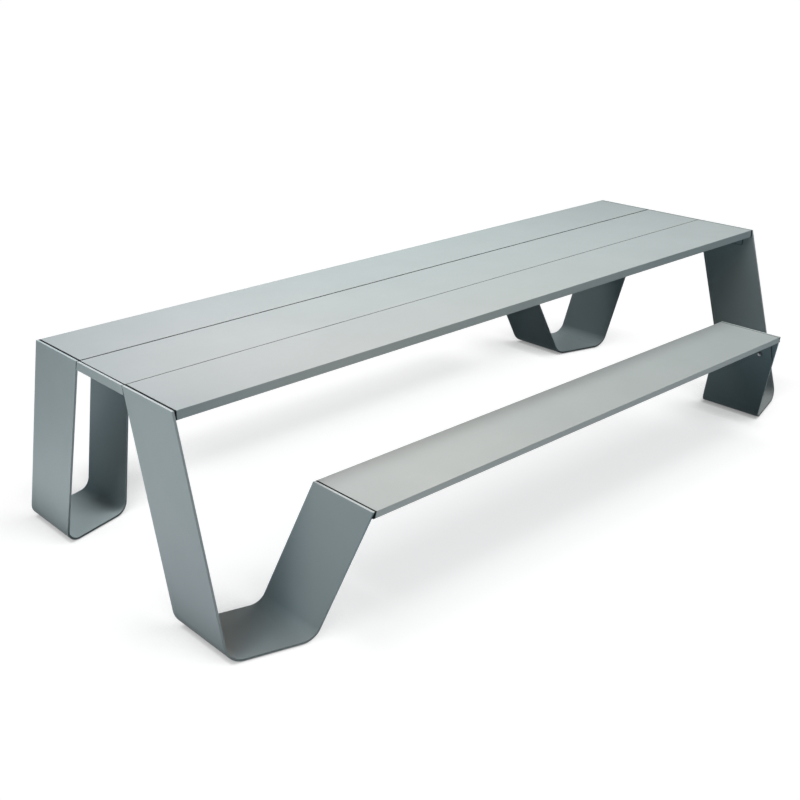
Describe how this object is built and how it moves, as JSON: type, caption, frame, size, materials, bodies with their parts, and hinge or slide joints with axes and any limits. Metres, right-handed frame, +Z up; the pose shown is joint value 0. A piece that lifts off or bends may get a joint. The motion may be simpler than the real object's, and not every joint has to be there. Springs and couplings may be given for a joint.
{
  "type": "picnic table",
  "caption": "Long outdoor metal picnic table whose skew-folded strip legs carry both the planked top and the benches alongside it.",
  "frame": {"origin": "on the floor at the table's centre", "axes": "+X along the table, +Y across it from the front bench to the back bench, +Z up"},
  "size_m": [3, 1.609, 0.74],
  "materials": {
    "powder_coat": "matte",
    "cap_plastic": "matte",
    "glide_plastic": "matte",
    "zinc_steel": "satin"
  },
  "bodies": {
    "root": {"table_plank_front": "powder_coat", "table_plank_middle": "powder_coat", "table_plank_back": "powder_coat", "bench_plank_front": "powder_coat", "bench_plank_back": "powder_coat", "leg_front_left": "powder_coat", "leg_front_right": "powder_coat", "leg_back_left": "powder_coat", "leg_back_right": "powder_coat", "end_plate_left": "powder_coat", "end_plate_right": "powder_coat", "table_cap_front_left": "cap_plastic", "table_cap_middle_left": "cap_plastic", "table_cap_back_left": "cap_plastic", "table_cap_front_right": "cap_plastic", "table_cap_middle_right": "cap_plastic", "table_cap_back_right": "cap_plastic", "bench_cap_front_left": "cap_plastic", "bench_cap_front_right": "cap_plastic", "bench_cap_back_left": "cap_plastic", "bench_cap_back_right": "cap_plastic", "table_bracket_front_left": "powder_coat", "table_bracket_front_right": "powder_coat", "table_bracket_back_left": "powder_coat", "table_bracket_back_right": "powder_coat", "bench_bracket_front_left": "powder_coat", "bench_bracket_front_right": "powder_coat", "bench_bracket_back_left": "powder_coat", "bench_bracket_back_right": "powder_coat", "cross_rail_left": "powder_coat", "cross_rail_centre": "powder_coat", "cross_rail_right": "powder_coat", "table_bracket_bolts": "zinc_steel", "bench_bracket_bolts": "zinc_steel", "rail_bolts": "zinc_steel", "table_studs": "zinc_steel", "bench_studs": "zinc_steel", "table_nuts": "zinc_steel", "bench_nuts": "zinc_steel", "table_inserts": "zinc_steel", "bench_inserts": "zinc_steel", "foot_glides": "glide_plastic"}
  },
  "joints": []
}
